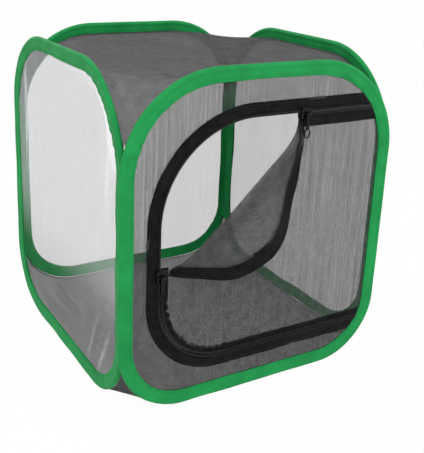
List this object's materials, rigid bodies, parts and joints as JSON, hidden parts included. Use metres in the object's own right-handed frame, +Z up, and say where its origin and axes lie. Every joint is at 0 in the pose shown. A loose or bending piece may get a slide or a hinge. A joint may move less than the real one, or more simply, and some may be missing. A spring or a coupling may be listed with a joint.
{
  "type": "insect cage",
  "caption": "Pop-up mesh insect cage: bound wire hoops hinged down the corners, clear side window, and a D-shaped zipped door with one corner folded open.",
  "frame": {"origin": "on the floor's underside, midway between the four corner hinge lines", "axes": "+Z up, -Y towards the door, +X to the right as the door is faced"},
  "size_m": [0.3102, 0.3377, 0.328],
  "materials": {
    "binding": "green woven binding tape, folded over the hoop wire and stitched",
    "net": "fine black polyester mesh",
    "film": "clear soft vinyl film",
    "wire": "bare sprung steel wire",
    "ferrule": "plated crimp tube",
    "tape": "black woven zipper tape",
    "coil": "black nylon coil",
    "slider": "dark plated zinc"
  },
  "bodies": {
    "back_panel": {"back_wire": "wire", "back_ferrule": "ferrule", "back_binding": "binding", "back_net": "net", "top_net": "net", "floor_net": "net"},
    "left_panel": {"left_wire": "wire", "left_ferrule": "ferrule", "left_binding": "binding", "left_window": "film"},
    "front_panel": {"front_wire": "wire", "front_ferrule": "ferrule", "front_binding": "binding", "front_net": "net", "frame_tape": "tape", "frame_coil": "coil", "door_net": "net", "door_tape_top": "tape", "door_coil_top": "coil", "door_tape_low": "tape", "door_coil_low": "coil"},
    "right_panel": {"right_wire": "wire", "right_ferrule": "ferrule", "right_binding": "binding", "right_net": "net"},
    "door_flap": {"flap_net": "net", "flap_tape": "tape", "flap_coil": "coil"},
    "top_slider": {"top_slider": "slider"},
    "side_slider": {"side_slider": "slider"},
    "top_pull": {"top_pull": "slider"},
    "side_pull": {"side_pull": "slider"}
  },
  "joints": [
    {"name": "cage_fold", "type": "hinge", "parent": "back_panel", "child": "left_panel", "pos_m": [-0.14565, 0.1529, 0.164], "axis": [0, 0, -1], "range_deg": [0, 84], "stiffness_Nm_per_rad": 0.5, "springref_deg": -5.73, "deforming": ["top_net", "floor_net"]},
    {"name": "front_fold", "type": "hinge", "parent": "left_panel", "child": "front_panel", "pos_m": [-0.14565, -0.1529, 0.164], "axis": [0, 0, 1], "range_deg": [0, 84]},
    {"name": "right_fold", "type": "hinge", "parent": "back_panel", "child": "right_panel", "pos_m": [0.14565, 0.1529, 0.164], "axis": [0, 0, -1], "range_deg": [0, 84]},
    {"name": "door_flap_fold", "type": "hinge", "parent": "front_panel", "child": "door_flap", "pos_m": [0.02927, -0.15654, 0.273], "axis": [-0.7306, 0, -0.6828], "range_deg": [0, 160]},
    {"name": "top_slider_slide", "type": "slide", "parent": "front_panel", "child": "top_slider", "axis": [-1, 0, 0], "range_m": [-0.066, 0.045]},
    {"name": "side_slider_slide", "type": "slide", "parent": "front_panel", "child": "side_slider", "axis": [0, 0, 1], "range_m": [-0.022, 0.036]},
    {"name": "top_pull_swing", "type": "hinge", "parent": "top_slider", "child": "top_pull", "pos_m": [0.03557, -0.16264, 0.279], "axis": [-1, 0, 0], "range_deg": [0, 165]},
    {"name": "side_pull_swing", "type": "hinge", "parent": "side_slider", "child": "side_pull", "pos_m": [-0.11395, -0.16264, 0.1408], "axis": [-1, 0, 0], "range_deg": [0, 165]}
  ],
  "couplings": [
    {"joint": "front_fold", "follows": "cage_fold", "ratio": 1},
    {"joint": "right_fold", "follows": "cage_fold", "ratio": 1}
  ]
}
